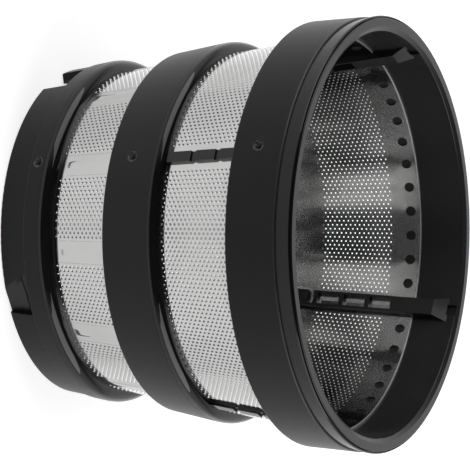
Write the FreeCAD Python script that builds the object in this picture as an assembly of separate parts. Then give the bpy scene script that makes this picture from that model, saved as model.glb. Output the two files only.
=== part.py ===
import FreeCAD, Part
import math
import os

# Juicer mesh screen: a conical perforated steel sheet held in black moulded rings.
# Millimetres. The part stands on its small end, the axis is Z and the mouth looks up.

# Whole part
overall_height = 85.7
rim_diameter = 108.0

# Conical sheet, measured on its outer face
sheet_thickness = 0.5
sheet_half_angle = 8.26
sheet_inset = 4.6            # from the rim's radius in to the sheet at its top edge
sheet_top_drop = 12.0        # from the mouth down to the sheet's top edge
sheet_bottom_height = 9.0    # from the base up to the sheet's lower edge

# Lock holes under the sheet's top edge
lock_hole_count = 48
lock_hole_diameter = 2.6
lock_hole_sides = 8          # few sides keep the many holes light
lock_hole_drop = 2.65

# Perforated fields, drawn here as narrow slots along the rows of fine holes
slot_width = 0.8
slots_per_sector = 8
slots_per_patch = 3
sector_margin_angle = 9.0
patch_margin_angle = 9.5
upper_field_top_gap = 2.0
upper_field_bottom_gap = 0.4
lower_field_top_gap = 2.2
lower_field_bottom_gap = 0.6

# Ridges pressed outwards between the lower patches, highest near their lower end
ridge_count = 12
ridge_width = 2.4
ridge_height = 0.3
ridge_end_run = 1.0
ridge_top_gap = 1.0
ridge_bottom_gap = 1.2

# Mouth ring
rim_height = 17.8
rim_rear_wall = 4.4
band_step_drop = 4.3
band_step_wall = 0.45
band_step_round = 0.42
band_flare = 0.8
neck_flare = 0.25
lip_width = 3.8
lip_bevel_width = 1.1
lip_bevel_depth = 0.65
rim_edge_drop = 0.4
rim_edge_width = 0.3
groove_width = 0.3
groove_depth = 0.6

# Middle ring
mid_rear_height = 30.9
mid_band_height = 13.8
mid_rear_wall = 2.47
mid_front_wall = 2.96
mid_nose_radius = 2.5

# Base ring
skirt_height = 7.4
skirt_wall = 2.65
skirt_top_wall = 3.75
flange_step = 0.3
flange_height = 4.6
flange_wall = 3.41
flange_nose_radius = 2.9
seat_ledge = 0.5

# Notches and ramped recesses that turn the base ring into its holder
holder_pair_count = 2
notch_angle = 204.0
notch_span = 15.0
recess_angle = 292.0
recess_span = 15.5
recess_depth = 2.2
recess_top_gap = 0.4
recess_rib_low = 4.0
recess_rib_width = 1.7
recess_rib_height = 0.3

# Bars that join the rings, outside and inside the sheet
bar_count = 4
bar_angle = 247.4
outer_bar_width = 2.7
outer_bar_height = 1.0
outer_notch_width = 1.3
outer_notch_depth = 0.6
inner_bar_width = 4.2
inner_bar_height = 1.7
inner_bar_foot_height = 36.0
wedge_top_drop = 2.85
wedge_drop = 6.4
wedge_top_width = 6.6
window_width = 3.0
window_length = 5.8
window_pitch = 7.0
window_count = 3
window_top_drop = 17.7
foot_slot_length = 1.5
wedge_notch_width = 2.8
wedge_notch_length = 0.3
wedge_notch_depth = 0.6

# Gate marks on the outer bands, in line with one bar
gate_diameter = 2.4
gate_depth = 0.3
gate_pip_diameter = 0.9

# Small edges
edge_round = 0.5
overlap = 1.0                # how far joined solids run into each other before they are fused

rim_radius = rim_diameter / 2
sheet_top = overall_height - sheet_top_drop
sheet_top_radius = rim_radius - sheet_inset
taper = math.tan(math.radians(sheet_half_angle))
sheet_wall = sheet_thickness / math.cos(math.radians(sheet_half_angle))
rim_rear = overall_height - rim_height
mid_front = mid_rear_height + mid_band_height
mid_nose = min(mid_nose_radius, mid_front_wall - 0.2)
flange_front = skirt_height + flange_height
flange_nose = min(flange_nose_radius, flange_wall - 0.2)
FULL_TURN = 360.0


def sheet_outer(z):
    """Radius of the sheet's outer face at height z."""
    return sheet_top_radius - taper * (sheet_top - z)


def sheet_inner(z):
    """Radius of the sheet's inner face at height z."""
    return sheet_outer(z) - sheet_wall


def point(r, z):
    """Point of a profile in the XZ plane."""
    return FreeCAD.Vector(r, 0, z)


def turned(shape, angle):
    """Copy of a shape turned about the axis."""
    copy = shape.copy()
    copy.rotate(FreeCAD.Vector(0, 0, 0), FreeCAD.Vector(0, 0, 1), angle)
    return copy


def ring_of(shape, count, first=0.0):
    """Copies of a shape, evenly spaced about the axis."""
    return [turned(shape, first + FULL_TURN * i / count) for i in range(count)]


def revolved(corners):
    """Solid of revolution of a closed profile; a corner (r, z, round) is rounded by that radius."""
    rounds = [c[2] if len(c) > 2 else 0.0 for c in corners]
    pts = [point(c[0], c[1]) for c in corners]
    edges = []
    ends = []
    for i, p in enumerate(pts):
        if not rounds[i]:
            ends.append((p, p))
            continue
        back = (pts[i - 1] - p).normalize()
        ahead = (pts[(i + 1) % len(pts)] - p).normalize()
        half = back.getAngle(ahead) / 2
        reach = rounds[i] / math.tan(half)
        inward = (back + ahead).normalize()
        middle = p + inward * (rounds[i] / math.sin(half) - rounds[i])
        start = p + back * reach
        end = p + ahead * reach
        edges.append((i, Part.Arc(start, middle, end).toShape()))
        ends.append((start, end))
    arcs = dict(edges)
    path = []
    for i in range(len(pts)):
        if i in arcs:
            path.append(arcs[i])
        leave = ends[i][1]
        arrive = ends[(i + 1) % len(pts)][0]
        if leave.distanceToPoint(arrive) > 1e-6:
            path.append(Part.LineSegment(leave, arrive).toShape())
    face = Part.Face(Part.Wire(path))
    solid = face.revolve(FreeCAD.Vector(0, 0, 0), FreeCAD.Vector(0, 0, 1), FULL_TURN)
    if solid.Volume < 0:
        solid.reverse()
    return solid


def upright_prism(outline, r_near, r_far):
    """Prism whose outline of (across, z) pairs faces +X, from one radius out to another."""
    pts = [FreeCAD.Vector(r_near, t, z) for t, z in outline]
    face = Part.Face(Part.makePolygon(pts + pts[:1]))
    return face.extrude(FreeCAD.Vector(r_far - r_near, 0, 0))


def upright_box(width, z_low, z_high, r_near, r_far):
    """Box centred on the +X direction."""
    half = width / 2
    return upright_prism([(-half, z_low), (half, z_low), (half, z_high), (-half, z_high)], r_near, r_far)


def flat_prism(corners, z_low, z_high):
    """Prism whose outline of (x, y) pairs lies level."""
    pts = [FreeCAD.Vector(x, y, z_low) for x, y in corners]
    face = Part.Face(Part.makePolygon(pts + pts[:1]))
    return face.extrude(FreeCAD.Vector(0, 0, z_high - z_low))


def cut_all(shape, tools):
    """Cut many tools at once."""
    return shape.cut(Part.makeCompound(tools)).removeSplitter()


def single(shape):
    """The one solid of a result."""
    return shape.Solids[0] if len(shape.Solids) == 1 else shape


def lock_hole():
    """Cutter of one lock hole, square to the axis; its outline has the area of the round hole."""
    z = sheet_top - lock_hole_drop
    step = 2 * math.pi / lock_hole_sides
    reach = lock_hole_diameter / 2 * math.sqrt(step / math.sin(step))
    outline = []
    for k in range(lock_hole_sides):
        angle = (k + 0.5) * step
        outline.append((reach * math.cos(angle), z + reach * math.sin(angle)))
    return upright_prism(outline, sheet_inner(z) - overlap, sheet_outer(z) + overlap)


def row_slots(z_low, z_high, repeats, first, margin, count):
    """Cutters of the narrow slots of one field, between plain strips that repeat about the axis."""
    half = math.atan(slot_width / 2 / sheet_outer((z_low + z_high) / 2))
    reach = 2 * rim_radius
    sides = [(reach * math.cos(half), side * reach * math.sin(half)) for side in (-1, 1)]
    cutter = flat_prism([(0, 0)] + sides, z_low, z_high)
    strip = FULL_TURN / repeats
    step = (strip - 2 * margin) / (count - 1)
    tools = []
    for i in range(repeats):
        for k in range(count):
            tools.append(turned(cutter, first + i * strip + margin + k * step))
    return tools


def ridge_wedge(width, wall, z_low, z_high):
    """Long wedge of one pressed ridge, set back by a wall from the sheet's outer face."""
    peak = z_low + ridge_end_run
    sunk = wall + sheet_wall / 2
    inside = wall + sheet_wall + overlap
    outline = [point(sheet_outer(z_low) - sunk, z_low),
               point(sheet_outer(peak) - wall + ridge_height, peak),
               point(sheet_outer(z_high) - sunk, z_high)]
    if wall:
        outline.append(point(sheet_outer(z_high) - inside, z_high))
        outline.append(point(sheet_outer(z_low) - inside, z_low))
    face = Part.Face(Part.makePolygon(outline + outline[:1]))
    face.translate(FreeCAD.Vector(0, -width / 2, 0))
    return face.extrude(FreeCAD.Vector(0, width, 0))


def make_mesh_sheet():
    """Conical sheet with its lock holes, slotted fields and pressed ridges."""
    low, top = sheet_bottom_height, sheet_top
    cone = revolved([(sheet_inner(low), low), (sheet_outer(low), low),
                     (sheet_outer(top), top), (sheet_inner(top), top)])
    lower_low = flange_front + flange_nose + lower_field_bottom_gap
    lower_high = mid_rear_height - lower_field_top_gap
    upper_low = mid_front + mid_nose + upper_field_bottom_gap
    upper_high = rim_rear - upper_field_top_gap
    ridge_low = flange_front + flange_nose + ridge_bottom_gap
    ridge_high = mid_rear_height - ridge_top_gap
    ridge = ridge_wedge(ridge_width, 0.0, ridge_low, ridge_high)
    hollow = ridge_wedge(ridge_width - 2 * sheet_thickness, sheet_wall, ridge_low, ridge_high)
    sheet = cone.multiFuse(ring_of(ridge, ridge_count, bar_angle))
    tools = ring_of(hollow, ridge_count, bar_angle) + ring_of(lock_hole(), lock_hole_count)
    tools += row_slots(upper_low, upper_high, bar_count, bar_angle, sector_margin_angle, slots_per_sector)
    tools += row_slots(lower_low, lower_high, ridge_count, bar_angle, patch_margin_angle, slots_per_patch)
    return single(cut_all(sheet, tools))


def mouth_ring():
    """Solid of the mouth ring with its band, neck, groove and lip."""
    rear_radius = sheet_outer(rim_rear) + rim_rear_wall
    step_height = overall_height - band_step_drop
    edge_top = overall_height - rim_edge_drop
    groove_out = rim_radius - rim_edge_width
    groove_in = groove_out - groove_width
    lip_in = rim_radius - lip_width
    return revolved([
        (sheet_outer(rim_rear), rim_rear),
        (rear_radius, rim_rear, edge_round),
        (rear_radius + band_flare, step_height, band_step_round),
        (rear_radius + band_flare - band_step_wall, step_height),
        (rim_radius, edge_top - neck_flare),
        (rim_radius - neck_flare / 2, edge_top),
        (groove_out, edge_top),
        (groove_out, edge_top - groove_depth),
        (groove_in, edge_top - groove_depth),
        (groove_in, overall_height, edge_round / 2),
        (lip_in + lip_bevel_width, overall_height),
        (lip_in, overall_height - lip_bevel_depth, edge_round / 2),
        (sheet_outer(sheet_top), sheet_top),
    ])


def middle_ring():
    """Solid of the middle ring, with a round nose towards the mouth."""
    nose_top = mid_front + mid_nose
    rear_radius = sheet_outer(mid_rear_height) + mid_rear_wall
    flare = (sheet_outer(mid_front) + mid_front_wall - rear_radius) / mid_band_height
    return revolved([
        (sheet_outer(mid_rear_height), mid_rear_height),
        (rear_radius, mid_rear_height, edge_round),
        (rear_radius + flare * (nose_top - mid_rear_height), nose_top, mid_nose),
        (sheet_outer(nose_top), nose_top),
    ])


def outer_bar():
    """Flat bar on the sheet's outer face, from the middle ring to the mouth ring, with two cross notches."""
    low = mid_front
    high = rim_rear + overlap
    shell = revolved([(sheet_outer(low), low), (sheet_outer(low) + outer_bar_height, low),
                      (sheet_outer(high) + outer_bar_height, high), (sheet_outer(high), high)])
    bar = shell.common(upright_box(outer_bar_width, low, high, 0, rim_radius))
    notches = []
    for k in range(1, window_count):
        z = overall_height - window_top_drop - k * window_pitch + (window_pitch - window_length) / 2
        floor = sheet_outer(z) + outer_bar_height - outer_notch_depth
        notches.append(upright_box(outer_bar_width + overlap, z - outer_notch_width / 2,
                                   z + outer_notch_width / 2, floor, rim_radius))
    return bar.cut(Part.makeCompound(notches))


def inner_bar():
    """Ladder bar on the sheet's inner face, running out over the mouth ring's wall in a flared wedge."""
    lip_in = rim_radius - lip_width
    lip_edge = overall_height - lip_bevel_depth
    flush = overall_height - wedge_top_drop
    full = overall_height - wedge_drop
    foot = inner_bar_foot_height

    def wall(z):
        share = (z - sheet_top) / (lip_edge - sheet_top)
        return sheet_top_radius + share * (lip_in - sheet_top_radius)

    shell = revolved([
        (sheet_inner(foot), foot),
        (sheet_inner(sheet_top), sheet_top),
        (sheet_top_radius + overlap, sheet_top),
        (wall(flush) + overlap, flush),
        (wall(flush), flush),
        (sheet_inner(full) - inner_bar_height, full),
        (sheet_inner(foot) - inner_bar_height, foot),
    ])
    half = inner_bar_width / 2
    flare = wedge_top_width / 2
    outline = [(-half, foot), (half, foot), (half, full), (flare, flush), (-flare, flush), (-half, full)]
    bar = shell.common(upright_prism(outline, 0, rim_radius))
    windows = []
    for k in range(window_count):
        top = overall_height - window_top_drop - k * window_pitch
        windows.append(upright_box(window_width, top - window_length, top, 0, rim_radius))
    slot_top = overall_height - window_top_drop - window_count * window_pitch
    low = slot_top - foot_slot_length
    edge = window_width / 2
    outline = [(-edge, low), (inner_bar_width, low), (inner_bar_width, slot_top), (-edge, slot_top)]
    windows.append(upright_prism(outline, 0, rim_radius))
    return bar.cut(Part.makeCompound(windows))


def gate_mark(radius, z):
    """Cutter of a shallow round gate mark with a pip left standing in it."""
    start = FreeCAD.Vector(radius - gate_depth, 0, z)
    out = FreeCAD.Vector(1, 0, 0)
    dish = Part.makeCylinder(gate_diameter / 2, gate_depth + overlap, start, out)
    pip = Part.makeCylinder(gate_pip_diameter / 2, gate_depth, start, out)
    return turned(dish.cut(pip), bar_angle)


def make_rim_frame():
    """Mouth ring, middle ring and all bars as one moulding."""
    parts = ring_of(outer_bar(), bar_count, bar_angle) + ring_of(inner_bar(), bar_count, bar_angle)
    frame = mouth_ring().multiFuse([middle_ring()] + parts)
    wall = rim_radius - lip_width
    notch_low = overall_height - wedge_top_drop - wedge_notch_length
    notch_high = overall_height - lip_bevel_depth
    wedge_notch = upright_box(wedge_notch_width, notch_low, notch_high, 0, wall + wedge_notch_depth)
    band_z = rim_rear + (rim_height - band_step_drop) / 2
    band_share = (band_z - rim_rear) / (rim_height - band_step_drop)
    band_radius = sheet_outer(rim_rear) + rim_rear_wall + band_share * band_flare
    mid_z = mid_rear_height + mid_band_height / 2
    mid_radius = sheet_outer(mid_z) + (mid_rear_wall + mid_front_wall) / 2
    tools = ring_of(wedge_notch, bar_count, bar_angle)
    tools += [gate_mark(band_radius, band_z), gate_mark(mid_radius, mid_z)]
    return single(cut_all(frame, tools))


def holder_notch(bore):
    """Cutter of a notch through the skirt, bounded by two planes that hold the axis."""
    reach = 2 * rim_radius
    half = math.radians(notch_span / 2)
    corners = [(r * math.cos(a), r * math.sin(a)) for r, a in ((bore / 2, -half), (bore / 2, half),
                                                              (reach, half), (reach, -half))]
    return flat_prism(corners, -overlap, skirt_height)


def holder_recess(radius):
    """Cutter of a ramped recess: a flat floor that starts at the skirt's surface and ends in a step."""
    half = math.radians(recess_span / 2)
    reach = 2 * radius
    high = skirt_height - recess_top_gap

    def corner(r, side):
        return r * math.cos(half), side * r * math.sin(half)

    deep = radius - recess_depth
    outline = [corner(radius, -1), corner(deep, 1), corner(reach, 1), corner(reach, -1)]
    cutter = flat_prism(outline, -overlap, high)
    tall = recess_rib_height
    outline = [corner(radius - overlap, -1), corner(deep - overlap, 1),
               corner(deep + tall, 1), corner(radius + tall, -1)]
    rib = flat_prism(outline, recess_rib_low, recess_rib_low + recess_rib_width)
    return cutter.cut(rib)


def make_base_ring():
    """Ring round the small end: skirt, flange with a round nose, and the features that fit its holder."""
    bore = sheet_inner(sheet_bottom_height) - seat_ledge
    nose_top = flange_front + flange_nose
    skirt_top = bore + skirt_top_wall
    flange_rear = skirt_top + flange_step
    flare = (sheet_outer(flange_front) + flange_wall - flange_rear) / flange_height
    ring = revolved([
        (bore, 0),
        (bore + skirt_wall, 0, edge_round),
        (skirt_top, skirt_height),
        (flange_rear, skirt_height, edge_round / 4),
        (flange_rear + flare * (nose_top - skirt_height), nose_top, flange_nose),
        (sheet_outer(nose_top), nose_top),
        (sheet_outer(sheet_bottom_height), sheet_bottom_height),
        (bore, sheet_bottom_height),
    ])
    tools = ring_of(holder_notch(bore), holder_pair_count, notch_angle)
    tools += ring_of(holder_recess(skirt_top), holder_pair_count, recess_angle)
    gate_radius = flange_rear + flare * flange_height / 2
    tools.append(gate_mark(gate_radius, skirt_height + flange_height / 2))
    return single(cut_all(ring, tools))


def main():
    """Build each piece and write it to its own file."""
    os.makedirs("parts", exist_ok=True)
    pieces = {"mesh_sheet": make_mesh_sheet(), "rim_frame": make_rim_frame(), "base_ring": make_base_ring()}
    for name, shape in pieces.items():
        shape.exportStep(os.path.join("parts", name + ".step"))
        box = shape.BoundBox
        print(name, shape.ShapeType, "solids", len(shape.Solids), "valid", shape.isValid(),
              "volume", round(shape.Volume, 1), "z", round(box.ZMin, 2), round(box.ZMax, 2),
              "x", round(box.XMin, 2), round(box.XMax, 2))


main()
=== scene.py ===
"""Dresses the juicer mesh screen: perforated steel cone, black rings and bars, studio and camera."""

import logging
import math
from dataclasses import dataclass, field
from enum import Enum
from typing import Any, Optional, Tuple, Union

import bmesh
import bpy
from mathutils import Matrix, Vector

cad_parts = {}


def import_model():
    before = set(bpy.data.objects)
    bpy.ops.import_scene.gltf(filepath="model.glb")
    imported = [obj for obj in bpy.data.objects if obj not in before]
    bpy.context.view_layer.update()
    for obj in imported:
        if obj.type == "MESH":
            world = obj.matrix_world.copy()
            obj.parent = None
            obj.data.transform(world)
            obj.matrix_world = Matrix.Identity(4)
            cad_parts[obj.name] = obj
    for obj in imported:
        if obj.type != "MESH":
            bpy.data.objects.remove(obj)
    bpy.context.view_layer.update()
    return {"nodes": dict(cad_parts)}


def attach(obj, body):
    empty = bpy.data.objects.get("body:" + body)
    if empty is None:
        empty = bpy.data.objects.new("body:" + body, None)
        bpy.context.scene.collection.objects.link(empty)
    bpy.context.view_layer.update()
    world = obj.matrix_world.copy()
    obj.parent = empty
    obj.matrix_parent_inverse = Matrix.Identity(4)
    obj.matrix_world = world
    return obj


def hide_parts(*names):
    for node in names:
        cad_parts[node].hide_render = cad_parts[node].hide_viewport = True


LOG = logging.getLogger("mesh_screen")
MM = 0.001
FULL_TURN = 360.0
ROOT_BODY = "root"

Colour = Tuple[float, float, float]
Span = Tuple[float, float]


class Slot(Enum):
    """Material slot names."""

    STEEL = "screen_steel"


class Ray(Enum):
    """Kinds of rays, as the Light Path node names them."""

    CAMERA = "Is Camera Ray"
    GLOSSY = "Is Glossy Ray"
    TRANSMISSION = "Is Transmission Ray"


class Sock:
    """A node socket that takes part in Python expressions."""

    def __init__(self, graph: "Graph", socket: bpy.types.NodeSocket) -> None:
        """Keep the graph and its socket."""
        self.graph = graph
        self.socket = socket

    def _math(self, operation: str, *values: Any) -> "Sock":
        """Add a Math node.

        Args:
            operation: the Math node's operation.
            values: numbers or sockets for its inputs.

        Returns:
            The node's result.
        """
        return self.graph.node("ShaderNodeMath", {"operation": operation}, dict(enumerate(values)))

    def __add__(self, other: Any) -> "Sock":
        """Sum."""
        return self._math("ADD", self, other)

    def __radd__(self, other: Any) -> "Sock":
        """Sum, reflected."""
        return self._math("ADD", other, self)

    def __sub__(self, other: Any) -> "Sock":
        """Difference."""
        return self._math("SUBTRACT", self, other)

    def __rsub__(self, other: Any) -> "Sock":
        """Difference, reflected."""
        return self._math("SUBTRACT", other, self)

    def __mul__(self, other: Any) -> "Sock":
        """Product."""
        return self._math("MULTIPLY", self, other)

    def __rmul__(self, other: Any) -> "Sock":
        """Product, reflected."""
        return self._math("MULTIPLY", other, self)

    def __truediv__(self, other: Any) -> "Sock":
        """Quotient."""
        return self._math("DIVIDE", self, other)

    def larger(self, other: Any) -> "Sock":
        """Larger of two values."""
        return self._math("MAXIMUM", self, other)

    def root(self) -> "Sock":
        """Square root."""
        return self._math("SQRT", self)

    def size(self) -> "Sock":
        """Value without its sign."""
        return self._math("ABSOLUTE", self)

    def ramp(self, low: float, high: float) -> "Sock":
        """Smooth step between two values.

        Args:
            low: where the step starts.
            high: where the step ends.

        Returns:
            0 below low, 1 above high.
        """
        settings = {"interpolation_type": "SMOOTHSTEP", "clamp": True}
        inputs = {"Value": self, "From Min": low, "From Max": high}
        return self.graph.node("ShaderNodeMapRange", settings, inputs)

    def between(self, low: float, high: float, soft: float) -> "Sock":
        """Mask of a stretch of values.

        Args:
            low: start of the stretch.
            high: end of the stretch.
            soft: width of each soft edge.

        Returns:
            1 inside the stretch and 0 outside.
        """
        return self.ramp(low - soft, low + soft) * (1 - self.ramp(high - soft, high + soft))


class Graph:
    """A node tree with one way to add nodes."""

    def __init__(self, tree: bpy.types.NodeTree) -> None:
        """Empty the tree and keep it."""
        self.tree = tree
        self.tree.nodes.clear()

    def node(
        self,
        kind: str,
        settings: Optional[dict] = None,
        inputs: Optional[dict] = None,
        output: Union[int, str] = 0,
    ) -> Sock:
        """Add a node.

        Args:
            kind: the node's type.
            settings: properties of the node, set first.
            inputs: socket name or number to a number, colour, vector or socket.
            output: which output to return.

        Returns:
            The chosen output.
        """
        made = self.tree.nodes.new(kind)
        for name, value in (settings or {}).items():
            setattr(made, name, value)
        for key, value in (inputs or {}).items():
            if isinstance(value, Sock):
                self.tree.links.new(value.socket, made.inputs[key])
            else:
                made.inputs[key].default_value = value
        return Sock(self, made.outputs[output]) if len(made.outputs) else Sock(self, made.inputs[0])

    def place(self) -> Sock:
        """Object coordinates in metres."""
        return self.node("ShaderNodeTexCoord", output="Object")

    def split(self, vector: Sock) -> Tuple[Sock, Sock, Sock]:
        """Components of a vector.

        Args:
            vector: the vector's socket.

        Returns:
            Its x, y and z.
        """
        first = self.node("ShaderNodeSeparateXYZ", inputs={"Vector": vector})
        outs = first.socket.node.outputs
        return Sock(self, outs[0]), Sock(self, outs[1]), Sock(self, outs[2])

    def join(self, x: Any, y: Any, z: Any) -> Sock:
        """Vector from three values."""
        return self.node("ShaderNodeCombineXYZ", inputs={"X": x, "Y": y, "Z": z})

    def noise(self, vector: Sock, scale: float, detail: float = 2.0, roughness: float = 0.5) -> Sock:
        """Noise value.

        Args:
            vector: where to read it.
            scale: cells per metre.
            detail: octaves.
            roughness: weight of the finer octaves.

        Returns:
            A value near 0.5.
        """
        inputs = {"Vector": vector, "Scale": scale, "Detail": detail, "Roughness": roughness}
        return self.node("ShaderNodeTexNoise", {"noise_dimensions": "3D"}, inputs)

    def blend(self, factor: Any, first: Any, second: Any) -> Sock:
        """Mix of two colours.

        Args:
            factor: share of the second colour.
            first: colour or socket.
            second: colour or socket.

        Returns:
            The mixed colour.
        """
        values = {"Factor": factor, 6: first, 7: second}
        return self.node("ShaderNodeMix", {"data_type": "RGBA"}, values, 2)

    def bump(self, height: Sock, strength: float, distance: float) -> Sock:
        """Normal bent by a height."""
        inputs = {"Strength": strength, "Distance": distance, "Height": height}
        return self.node("ShaderNodeBump", inputs=inputs)

    def surface(self, shader: Sock, kind: str = "ShaderNodeOutputMaterial") -> None:
        """Send a shader to the output."""
        self.node(kind, inputs={"Surface": shader})


def rgba(colour: Colour) -> Tuple[float, float, float, float]:
    """Colour with full alpha."""
    return (*colour, 1.0)


def new_graph(name: str) -> Tuple[bpy.types.Material, Graph]:
    """Material with an empty graph.

    Args:
        name: the material's name.

    Returns:
        The material and its graph.
    """
    material = bpy.data.materials.new(name)
    material.use_nodes = True
    return material, Graph(material.node_tree)


@dataclass(frozen=True)
class SteelFinish:
    """Rolled stainless sheet: bright satin, with a fine grain round the cone and faint handling marks; the
    rough top edge carries a painted highlight.
    """

    colour: Colour = (0.46, 0.46, 0.457)
    dull: Colour = (0.39, 0.39, 0.387)
    # painted highlight: pale colour on the sheet's top edge, standing for the bright line of light the edge
    # catches
    painted_edge_highlight: Colour = (0.85, 0.85, 0.85)
    roughness: float = 0.11
    grain: float = 0.012
    grain_scale: float = 320.0
    grain_stretch: float = 30.0
    cloud_scale: float = 45.0
    cloud_range: Span = (0.45, 0.75)
    dull_share: float = 0.5
    dull_rough: float = 0.05
    edge: float = 73.55
    edge_soft: float = 0.1
    edge_rough: float = 0.4

    def material(self) -> bpy.types.Material:
        """Build the material."""
        material, graph = new_graph("stainless_sheet")
        place = graph.place()
        x, y, z = graph.split(place)
        around = graph.join(x, y, z * self.grain_stretch)
        grain = graph.noise(around, self.grain_scale, 3.0, 0.6)
        cloud = graph.noise(place, self.cloud_scale, 3.0, 0.55)
        marks = cloud.ramp(*self.cloud_range)
        rim = (z * (1 / MM)).ramp(self.edge, self.edge + self.edge_soft)
        rolled = graph.blend(marks * self.dull_share, rgba(self.colour), rgba(self.dull))
        # painted highlight: the top edge takes the pale colour; its higher roughness is the real rough
        # sheared edge
        tint = graph.blend(rim, rolled, rgba(self.painted_edge_highlight))
        rough = self.roughness + (grain - 0.5) * self.grain * 2
        rough = rough + marks * self.dull_rough + rim * self.edge_rough
        shader = graph.node(
            "ShaderNodeBsdfPrincipled",
            inputs={
                "Base Color": tint,
                "Metallic": 1.0,
                "Roughness": rough,
            },
        )
        graph.surface(shader)
        return material


@dataclass(frozen=True)
class Polish:
    """How one zone of the moulding is finished."""

    colour: Colour
    worn: Colour
    roughness: float
    specular: float


@dataclass(frozen=True)
class PlasticFinish:
    """Black moulded plastic: satin outer bands, polished noses, neck, lip and inner walls."""

    satin: Polish = Polish((0.0055, 0.0055, 0.0058), (0.009, 0.009, 0.0094), 0.38, 0.17)
    polished: Polish = Polish((0.004, 0.004, 0.0045), (0.007, 0.007, 0.0075), 0.035, 0.30)
    walls: Polish = Polish((0.018, 0.018, 0.0185), (0.024, 0.024, 0.0245), 0.26, 0.30)
    # one pale colour for the marks: gate rings, partly torn plastic and partly painted highlight; painted
    # highlight lines at the steps; lighter recess floors
    torn_and_highlight_colour: Colour = (0.09, 0.09, 0.09)
    # painted highlight: light lines at the steps at heights 7.2-7.5 and 80.95-81.45 mm, standing for the
    # light caught by rounded step edges
    highlight_edges: Tuple[Span, Span] = ((7.2, 7.5), (80.95, 81.45))
    highlight_share: float = 0.3
    highlight_soft: float = 0.05
    satin_bands: Tuple[Span, ...] = ((0.0, 12.0), (31.0, 44.6), (68.0, 81.45))
    lip_band: Span = (81.45, 85.3)
    lip_share: float = 0.55
    soft: float = 0.15
    flare: float = 0.1452
    inner_edge: Span = (38.9, 39.4)
    satin_edge: Span = (39.6, 39.9)
    cloud_scale: float = 60.0
    cloud_range: Span = (0.4, 0.75)
    cloud_share: float = 0.6
    cloud_rough: float = 0.06
    grain_scale: float = 2600.0
    grain_strength: float = 0.12
    grain_depth: float = 0.0001
    recess_angle: float = 292.0
    recess_cosine: float = 0.9912
    skirt_radius: float = 41.65
    skirt_flare: float = 0.1486
    bore_radius: float = 39.0
    recess_top: Span = (7.1, 7.3)
    recess_share: Span = (0.12, 0.2)
    gate_angle: float = 247.4
    gate_heights: Tuple[float, ...] = (9.7, 37.8, 74.65)
    gate_ring: Span = (0.85, 1.35)
    gate_front: Span = (30.0, 31.0)
    gate_scale: float = 1500.0
    gate_range: Span = (0.35, 0.6)

    def satin_mask(self, z: Sock, radius: Sock) -> Sock:
        """Mask of the satin bands.

        Args:
            z: height in millimetres.
            radius: distance from the axis in millimetres.

        Returns:
            1 on the bands and 0 elsewhere.
        """
        bands = [z.between(low, high, self.soft) for low, high in self.satin_bands]
        mask = bands[0]
        for band in bands[1:]:
            mask = mask.larger(band)
        mask = mask.larger(z.between(*self.lip_band, self.soft) * self.lip_share)
        return mask * (radius - z * self.flare).ramp(*self.satin_edge)

    def gate_mask(self, x: Sock, y: Sock, z: Sock) -> Sock:
        """Mask of the pale ring round the gate marks: partly torn plastic, partly a painted highlight on
        the dish edges.

        Args:
            x: position in millimetres.
            y: position in millimetres.
            z: height in millimetres.

        Returns:
            1 on the edge of a gate mark and 0 elsewhere.
        """
        turn = math.radians(self.gate_angle)
        across = y * math.cos(turn) - x * math.sin(turn)
        ahead = (x * math.cos(turn) + y * math.sin(turn)).ramp(*self.gate_front)
        rings = []
        for height in self.gate_heights:
            up = z - height
            rings.append((across * across + up * up).root().between(*self.gate_ring, self.soft))
        return rings[0].larger(rings[1]).larger(rings[2]) * ahead

    def recess_mask(self, x: Sock, y: Sock, z: Sock, radius: Sock) -> Sock:
        """Mask of the lighter floors of the two ramped recesses in the skirt.

        Args:
            x: position in millimetres.
            y: position in millimetres.
            z: height in millimetres.
            radius: distance from the axis in millimetres.

        Returns:
            1 on a recess floor and 0 elsewhere.
        """
        turn = math.radians(self.recess_angle)
        ahead = (x * math.cos(turn) + y * math.sin(turn)).size() / radius
        depth = self.skirt_radius + z * self.skirt_flare - radius
        inside = depth.ramp(0.1, 0.3) * (radius - self.bore_radius).ramp(0.2, 0.4)
        near = ahead.ramp(self.recess_cosine, self.recess_cosine + 0.0006)
        return near * inside * (1 - z.ramp(*self.recess_top))

    def shader(self, graph: Graph, polish: Polish, cloud: Sock, normal: Optional[Sock] = None) -> Sock:
        """Shader of one zone.

        Args:
            graph: where to build.
            polish: the zone's finish.
            cloud: slow noise of handling marks.
            normal: bent normal, if the zone has a grain.

        Returns:
            The shader.
        """
        wear = cloud.ramp(*self.cloud_range) * self.cloud_share
        inputs = {
            "Base Color": graph.blend(wear, rgba(polish.colour), rgba(polish.worn)),
            "Roughness": polish.roughness + (cloud - 0.5) * self.cloud_rough,
            "Specular IOR Level": polish.specular,
        }
        if normal is not None:
            inputs["Normal"] = normal
        return graph.node("ShaderNodeBsdfPrincipled", inputs=inputs)

    def material(self) -> bpy.types.Material:
        """Build the material."""
        material, graph = new_graph("black_moulding")
        place = graph.place()
        x, y, z = graph.split(place)
        x, y, z = x * (1 / MM), y * (1 / MM), z * (1 / MM)
        radius = (x * x + y * y).root()
        mask = self.satin_mask(z, radius)
        cloud = graph.noise(place, self.cloud_scale, 3.0, 0.55)
        pores = graph.noise(place, self.grain_scale, 2.0, 0.6)
        grain = graph.bump(pores, self.grain_strength, self.grain_depth)
        inner = 1 - (radius - z * self.flare).ramp(*self.inner_edge)
        outside = self.shader(graph, self.polished, cloud)
        inside = self.shader(graph, self.walls, cloud)
        smooth = graph.node("ShaderNodeMixShader", inputs={0: inner, 1: outside, 2: inside})
        satin = self.shader(graph, self.satin, cloud, grain)
        moulded = graph.node("ShaderNodeMixShader", inputs={0: mask, 1: smooth, 2: satin})
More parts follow.
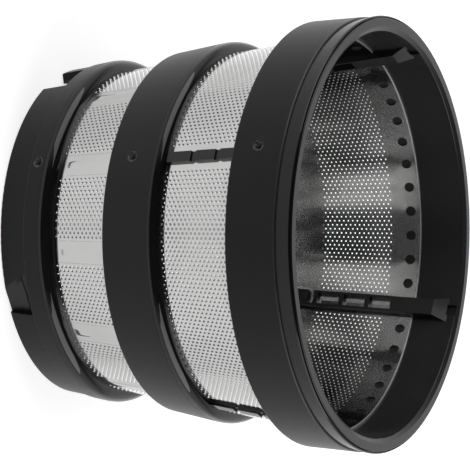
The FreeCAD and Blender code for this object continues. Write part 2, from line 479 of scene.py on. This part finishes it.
        # pale shader for the marks: partly torn plastic, partly painted highlight
        torn_and_highlight = self.shader(graph, Polish(self.torn_and_highlight_colour, self.satin.worn, 0.3, 0.5), cloud)
        # painted highlight lines at the two steps
        low, high = (z.between(*edge, self.highlight_soft) for edge in self.highlight_edges)
        least, most = self.recess_share
        # lighter colour on the recess floors
        lighter_recess = self.recess_mask(x, y, z, radius) * (least + cloud * most)
        # painted highlight lines at the steps, joined with the lighter recess floors
        edge = (low.larger(high) * mask * self.highlight_share).larger(lighter_recess)
        patchy = graph.noise(place, self.gate_scale).ramp(*self.gate_range)
        # gate rings (partly torn plastic, partly painted highlight), painted highlight lines and lighter
        # recess floors take the pale shader
        marks = (self.gate_mask(x, y, z) * patchy).larger(edge)
        graph.surface(graph.node("ShaderNodeMixShader", inputs={0: marks, 1: moulded, 2: torn_and_highlight}))
        return material


@dataclass(frozen=True)
class Cone:
    """The conical sheet's outer face, in millimetres."""

    top_radius: float = 49.4
    top: float = 73.7
    half_angle: float = 8.26

    def radius(self, z: float) -> float:
        """Outer radius at a height."""
        return self.top_radius - math.tan(math.radians(self.half_angle)) * (self.top - z)

    def point(self, angle: float, z: float, lift: float = 0.0) -> Vector:
        """Point on the cone in metres.

        Args:
            angle: degrees about the axis.
            z: height in millimetres.
            lift: millimetres outward.

        Returns:
            The point.
        """
        r = (self.radius(z) + lift) * MM
        turn = math.radians(angle)
        return Vector((r * math.cos(turn), r * math.sin(turn), z * MM))


def smooth_step(value: float, low: float, high: float) -> float:
    """Smooth step of a number.

    Args:
        value: the number.
        low: where the step starts.
        high: where the step ends.

    Returns:
        0 below low, 1 above high.
    """
    share = min(max((value - low) / (high - low), 0.0), 1.0)
    return share * share * (3 - 2 * share)


def grid_columns(bm: bmesh.types.BMesh, columns: int, rows: int) -> list:
    """Flat grid whose vertices are returned column by column.

    Args:
        bm: mesh that takes the grid.
        columns: vertices across.
        rows: vertices up.

    Returns:
        A list of columns, each a list of vertices from low to high.
    """
    made = bmesh.ops.create_grid(bm, x_segments=columns - 1, y_segments=rows - 1, size=1.0)["verts"]
    ordered = sorted(made, key=lambda v: (round(v.co.x, 5), v.co.y))
    return [ordered[i * rows:(i + 1) * rows] for i in range(columns)]


@dataclass
class HoleField:
    """One field of staggered holes between two plain edges, in millimetres and degrees."""

    cone: Cone
    start: float
    span: float
    first_row: float
    row_count: int
    row_step: float
    hole_low: float
    hole_high: float
    long_row: int
    edge_low: float
    edge_high: float
    hole_radius: float = 0.245
    border: int = 2

    @property
    def pitch(self) -> float:
        """Distance of neighbouring holes in a row."""
        return (self.hole_high - self.hole_low) / (self.long_row - 1)

    def build(self, bm: bmesh.types.BMesh) -> None:
        """Add the field to a mesh: a triangle lattice whose hole corners are bevelled open.

        Args:
            bm: mesh that takes the field.
        """
        part = bmesh.new()
        columns = grid_columns(part, self.row_count + 2 * self.border, self.long_row + 2 * self.border)
        across = self.pitch * math.sqrt(3) / 2
        holes = []
        for i, column in enumerate(columns):
            row = i - self.border
            odd = row % 2 == 1
            for k, vert in enumerate(column):
                j = k - self.border
                z = self.hole_low + (j + (0.5 if odd else 0.0)) * self.pitch
                if k == 0:
                    z = self.edge_low
                elif k == len(column) - 1:
                    z = self.edge_high
                vert.co = Vector((row * across, z, 0.0))
                inside = 0 <= row < self.row_count and 0 <= j < self.long_row - (1 if odd else 0)
                if inside:
                    holes.append(vert)
        bmesh.ops.triangulate(part, faces=part.faces[:], quad_method="SHORT_EDGE")
        cut = bmesh.ops.bevel(
            part, geom=holes, offset=self.hole_radius, offset_type="OFFSET", affect="VERTICES",
            segments=1, profile=0.5, material=-1,
        )
        bmesh.ops.delete(part, geom=cut["faces"], context="FACES")
        for vert in part.verts:
            row = vert.co.x / across
            angle = self.start + self.first_row + row * self.row_step
            if row < 0.5 - self.border:
                angle = self.start
            elif row > self.row_count + self.border - 1.5:
                angle = self.start + self.span
            vert.co = self.cone.point(angle, vert.co.y)
        merge_into(bm, part)


def merge_into(bm: bmesh.types.BMesh, part: bmesh.types.BMesh) -> None:
    """Add one mesh to another and free it.

    Args:
        bm: mesh that grows.
        part: mesh that is added.
    """
    mesh = bpy.data.meshes.new("part")
    part.to_mesh(mesh)
    part.free()
    bm.from_mesh(mesh)
    bpy.data.meshes.remove(mesh)


def turn_copies(bm: bmesh.types.BMesh, count: int) -> None:
    """Repeat a mesh about the axis.

    Args:
        bm: mesh that holds one section.
        count: how many sections make the full turn.
    """
    geom = bm.verts[:] + bm.edges[:] + bm.faces[:]
    for i in range(1, count):
        copy = bmesh.ops.duplicate(bm, geom=geom)["geom"]
        verts = [g for g in copy if isinstance(g, bmesh.types.BMVert)]
        turn = Matrix.Rotation(math.radians(FULL_TURN * i / count), 3, "Z")
        bmesh.ops.rotate(bm, cent=(0, 0, 0), matrix=turn, verts=verts)


def finish_piece(
    bm: bmesh.types.BMesh, name: str, material: bpy.types.Material, sharp: float = 35.0
) -> bpy.types.Object:
    """Turn a mesh into an object at the origin.

    Args:
        bm: the mesh; freed here.
        name: the piece's name.
        material: its finish.
        sharp: degrees past which an edge stays sharp.

    Returns:
        The object.
    """
    mesh = bpy.data.meshes.new(name)
    bm.to_mesh(mesh)
    bm.free()
    mesh.shade_smooth()
    mesh.set_sharp_from_angle(angle=math.radians(sharp))
    mesh.materials.append(material)
    piece = bpy.data.objects.new(name, mesh)
    bpy.context.scene.collection.objects.link(piece)
    return piece


@dataclass
class MeshScreen:
    """The perforated sheet: a collar with lock holes, the upper field, and lower patches between ridges."""

    cone: Cone = field(default_factory=Cone)
    bar_angle: float = 247.4
    bar_count: int = 4
    thickness: float = 0.5
    bottom: float = 9.0
    seam: float = 39.0
    collar_low: float = 67.2
    lock_count: int = 48
    lock_radius: float = 1.3
    lock_z: float = 71.05
    ridge_count: int = 12
    ridge_low: float = 16.6
    ridge_high: float = 29.9
    ridge_run: float = 2.2
    ridge_height: float = 0.25
    ridge_top_half: float = 0.6
    ridge_foot_half: float = 1.35
    strip_half_angle: float = 4.55
    ridge_margin: float = 0.3
    field_heights: Tuple[Span, ...] = ((14.9, 29.9), (46.5, 66.5))
    rim_ease: float = 0.1
    lock_corners: int = 16
    weld: float = 0.02

    def collar(self, bm: bmesh.types.BMesh) -> None:
        """Plain collar under the top edge, one lock hole in each section.

        Args:
            bm: mesh that takes the collar.
        """
        part = bmesh.new()
        corners = self.lock_corners
        step = FULL_TURN / self.lock_count
        outer = bmesh.ops.create_circle(part, segments=corners, radius=1.0)["verts"]
        inner = bmesh.ops.create_circle(part, segments=corners, radius=0.5)["verts"]
        low = self.collar_low - self.lock_z
        high = self.cone.top - self.lock_z
        radius = self.cone.radius(self.lock_z)
        for vert in outer:
            reach = max(abs(vert.co.x), abs(vert.co.y))
            across = vert.co.x / reach
            up = vert.co.y / reach
            vert.co = self.cone.point(across * step / 2, self.lock_z + (high if up > 0 else -low) * up)
        for vert in inner:
            across = math.degrees(2 * vert.co.x * self.lock_radius / radius)
            vert.co = self.cone.point(across, self.lock_z + 2 * vert.co.y * self.lock_radius)
        bmesh.ops.bridge_loops(part, edges=part.edges[:])
        turn_copies(part, self.lock_count)
        merge_into(bm, part)

    def upper(self) -> bmesh.types.BMesh:
        """Upper half of the sheet, from the seam under the middle ring to the top edge."""
        part = bmesh.new()
        quarter = HoleField(
            cone=self.cone, start=self.bar_angle, span=FULL_TURN / self.bar_count, first_row=4.5,
            row_count=62, row_step=1.3279, hole_low=47.35, hole_high=65.65, long_row=16,
            edge_low=self.seam, edge_high=self.collar_low,
        )
        quarter.build(part)
        turn_copies(part, self.bar_count)
        self.collar(part)
        return part

    def ridge_lift(self, across: float, z: float) -> float:
        """Height of a pressed ridge.

        Args:
            across: millimetres from the ridge's middle line.
            z: height above the base in millimetres.

        Returns:
            How far the sheet is pressed out.
        """
        rise = smooth_step(z, self.ridge_low, self.ridge_low + self.ridge_run)
        slope = (self.ridge_high - z) / (self.ridge_high - self.ridge_low - self.ridge_run)
        fall = min(max(slope, 0.0), 1.0)
        side = 1 - smooth_step(abs(across), self.ridge_top_half, self.ridge_foot_half)
        return self.ridge_height * rise * fall * side

    def ridge_strip(self, bm: bmesh.types.BMesh) -> None:
        """Plain strip with one pressed ridge.

        Args:
            bm: mesh that takes the strip.
        """
        part = bmesh.new()
        half = self.strip_half_angle
        steep = self.ridge_low + self.ridge_run
        levels = [self.bottom, self.ridge_low - self.ridge_margin]
        levels += [self.ridge_low + self.ridge_run * k / 6 for k in range(7)]
        levels += [steep + (self.ridge_high - steep) * k / 8 for k in range(1, 9)]
        levels.append(self.seam)
        flank = self.ridge_top_half - self.ridge_foot_half
        offsets = [self.ridge_foot_half + flank * k / 5 for k in range(6)]
        angle_per_mm = math.degrees(1 / self.cone.radius((self.ridge_low + self.ridge_high) / 2))
        left = [-half] + [-offset * angle_per_mm for offset in offsets]
        spots = left + [-angle for angle in reversed(left)]
        columns = grid_columns(part, len(spots), len(levels))
        for angle, column in zip(spots, columns):
            for z, vert in zip(levels, column):
                lift = self.ridge_lift(angle / angle_per_mm, z)
                vert.co = self.cone.point(self.bar_angle + angle, z, lift)
        merge_into(bm, part)

    def lower(self) -> bmesh.types.BMesh:
        """Lower half of the sheet, from the lower edge to the seam under the middle ring."""
        part = bmesh.new()
        section = FULL_TURN / self.ridge_count
        half = self.strip_half_angle
        patch = HoleField(
            cone=self.cone, start=self.bar_angle + half, span=section - 2 * half, first_row=0.58,
            row_count=15, row_step=1.41, hole_low=15.7, hole_high=29.1, long_row=12,
            edge_low=self.bottom, edge_high=self.seam,
        )
        patch.build(part)
        self.ridge_strip(part)
        turn_copies(part, self.ridge_count)
        return part

    def build(self, material: bpy.types.Material) -> list:
        """Make both halves.

        Args:
            material: the steel finish.

        Returns:
            The two pieces.
        """
        pieces = []
        for name, bm in (("screen_upper", self.upper()), ("screen_lower", self.lower())):
            bmesh.ops.remove_doubles(bm, verts=bm.verts[:], dist=self.weld * MM)
            bmesh.ops.recalc_face_normals(bm, faces=bm.faces[:])
            self.face_outwards(bm)
            bmesh.ops.solidify(bm, geom=bm.faces[:], thickness=self.thickness * MM)
            self.ease_rims(bm)
            pieces.append(finish_piece(bm, name, material))
        return pieces

    def ease_rims(self, bm: bmesh.types.BMesh) -> None:
        """Chamfer the fine holes on the sheet's outer side.

        Args:
            bm: the thick sheet.
        """
        bm.normal_update()
        rims = []
        for edge in bm.edges:
            middle = (edge.verts[0].co + edge.verts[1].co) / 2
            if not any(low < middle.z / MM < high for low, high in self.field_heights):
                continue
            outward = Vector((middle.x, middle.y, 0.0)).normalized()
            slopes = sorted((face.normal.dot(outward) for face in edge.link_faces), key=abs)
            if slopes[-1] > 0.9 and abs(slopes[0]) < 0.6:
                rims.append(edge)
        bmesh.ops.bevel(
            bm, geom=rims, offset=self.rim_ease * MM, offset_type="OFFSET", affect="EDGES",
            segments=1, profile=0.5, material=-1,
        )

    def face_outwards(self, bm: bmesh.types.BMesh) -> None:
        """Turn the faces of an open shell away from the axis.

        Args:
            bm: the shell.
        """
        inward = [f for f in bm.faces if f.normal.dot(f.calc_center_median() * Vector((1, 1, 0))) < 0]
        bmesh.ops.reverse_faces(bm, faces=inward)


@dataclass
class Studio:
    """Pale floor, two soft side lamps, and surroundings bright behind and dim before the camera."""

    floor_half: float = 4.0
    floor_colour: Colour = (0.86, 0.86, 0.86)
    floor_lift: float = 0.60
    floor_fade: Span = (-0.30, -0.16)
    bright: float = 0.80
    dim: float = 0.07
    behind: Span = (0.40, 0.80)
    beside: Span = (0.55, 0.90)
    lamp_reach: float = 0.75
    lamp_front: float = -0.15
    lamp_height: float = 0.45
    lamp_sides: Span = (0.8, 0.6)
    lamp_powers: Span = (3.6, 4.2)
    target_height: float = 0.05

    def seen(self, graph: Graph, *kinds: Ray) -> Sock:
        """Rays of certain kinds.

        Args:
            graph: where to build.
            kinds: the kinds of rays.

        Returns:
            1 for those rays and 0 for others.
        """
        rays = [graph.node("ShaderNodeLightPath", output=kind.value) for kind in kinds]
        mask = rays[0]
        for ray in rays[1:]:
            mask = mask.larger(ray)
        return mask

    def floor(self) -> bpy.types.Object:
        """Pale floor that keeps the object's shadow."""
        bm = bmesh.new()
        bmesh.ops.create_grid(bm, x_segments=1, y_segments=1, size=self.floor_half)
        material, graph = new_graph("pale_floor")
        _, y, _ = graph.split(graph.place())
        mirrored = self.seen(graph, Ray.GLOSSY) * y.ramp(*self.floor_fade)
        rays = self.seen(graph, Ray.CAMERA, Ray.TRANSMISSION).larger(mirrored)
        diffuse = graph.node("ShaderNodeBsdfDiffuse", inputs={"Color": rgba(self.floor_colour)})
        glow = graph.node("ShaderNodeEmission", inputs={"Strength": rays * self.floor_lift})
        graph.surface(graph.node("ShaderNodeAddShader", inputs={0: diffuse, 1: glow}))
        piece = finish_piece(bm, "floor", material)
        return piece

    def lamp(self, name: str, across: float, power: float) -> None:
        """Soft lamp that faces the object.

        Args:
            name: the lamp's name.
            across: how far to the side it stands, in metres.
            power: watts.
        """
        data = bpy.data.lights.new(name, "AREA")
        data.shape = "RECTANGLE"
        data.size, data.size_y = self.lamp_sides
        data.energy = power
        lamp = bpy.data.objects.new(name, data)
        lamp.location = Vector((across, self.lamp_front, self.lamp_height))
        aim = Vector((0, 0, self.target_height)) - lamp.location
        lamp.rotation_euler = aim.to_track_quat("-Z", "Y").to_euler()
        bpy.context.scene.collection.objects.link(lamp)

    def world(self) -> None:
        """Surroundings: white to the camera, behind and at the sides, dim overhead and in front."""
        world = bpy.data.worlds.new("studio")
        bpy.context.scene.world = world
        world.use_nodes = True
        graph = Graph(world.node_tree)
        x, y, _ = graph.split(graph.node("ShaderNodeTexCoord", output="Generated"))
        behind = y.ramp(*self.behind)
        beside = x.size().ramp(*self.beside)
        glossy = self.seen(graph, Ray.GLOSSY)
        top = self.bright + glossy * (1.0 - self.bright)
        around = self.dim + behind.larger(beside) * (top - self.dim)
        direct = self.seen(graph, Ray.CAMERA, Ray.TRANSMISSION)
        inputs = {"Color": (1, 1, 1, 1), "Strength": around.larger(direct)}
        shader = graph.node("ShaderNodeBackground", inputs=inputs)
        graph.surface(shader, "ShaderNodeOutputWorld")

    def build(self) -> None:
        """Set up everything."""
        self.floor()
        self.world()
        left_power, right_power = self.lamp_powers
        self.lamp("side_lamp_left", -self.lamp_reach, left_power)
        self.lamp("side_lamp_right", self.lamp_reach, right_power)


@dataclass
class PhotoCamera:
    """Camera of the photograph; the mouth points to the right of the picture."""

    lens: float = 255.3
    sensor: float = 36.0
    axis_angle: float = 63.20
    roll: float = 0.83
    rim_height: float = 85.4
    rim_right: float = 36.95
    rim_down: float = -0.04
    rim_ahead: float = 822.0

    def build(self) -> bpy.types.Object:
        """Place the camera.

        Returns:
            The camera object.
        """
        lean = math.radians(self.axis_angle)
        spin = Matrix.Rotation(math.radians(self.roll), 3, "Z")
        far = spin @ Vector((math.cos(lean), 0, math.sin(lean)))
        left = spin @ Vector((0, 1, 0))
        up = spin @ Vector((math.sin(lean), 0, -math.cos(lean)))
        centre = Vector((self.rim_right, self.rim_down, self.rim_ahead))
        place = Vector((-centre.dot(left), -centre.dot(far), self.rim_height - centre.dot(up))) * MM
        right_axis = Vector((left.x, far.x, up.x))
        down_axis = Vector((left.y, far.y, up.y))
        ahead_axis = Vector((left.z, far.z, up.z))
        data = bpy.data.cameras.new("photo_camera")
        data.lens = self.lens
        data.sensor_width = self.sensor
        data.clip_start = 0.01
        camera = bpy.data.objects.new("photo_camera", data)
        turn = Matrix((right_axis, -down_axis, -ahead_axis)).transposed().to_4x4()
        camera.matrix_world = Matrix.Translation(place) @ turn
        bpy.context.scene.collection.objects.link(camera)
        bpy.context.scene.camera = camera
        return camera


def dress_node(node: bpy.types.Object, material: bpy.types.Material) -> None:
    """Give a moulded node its finish.

    Args:
        node: the node's object.
        material: the finish.
    """
    node.data.materials.clear()
    node.data.materials.append(material)


def main() -> None:
    """Build everything in order and report each piece."""
    logging.basicConfig(level=logging.INFO, format="%(message)s")
    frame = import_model()
    bpy.context.scene.view_settings.view_transform = "Standard"
    PhotoCamera().build()
    Studio().build()
    steel = SteelFinish().material()
    plastic = PlasticFinish().material()
    for name in ("rim_frame", "base_ring"):
        dress_node(frame["nodes"][name], plastic)
        LOG.info("dressed %s", name)
    for piece in MeshScreen().build(steel):
        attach(piece, ROOT_BODY)
        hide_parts("mesh_sheet")
        LOG.info("built %s with %d faces", piece.name, len(piece.data.polygons))


if __name__ == "__main__":
    main()
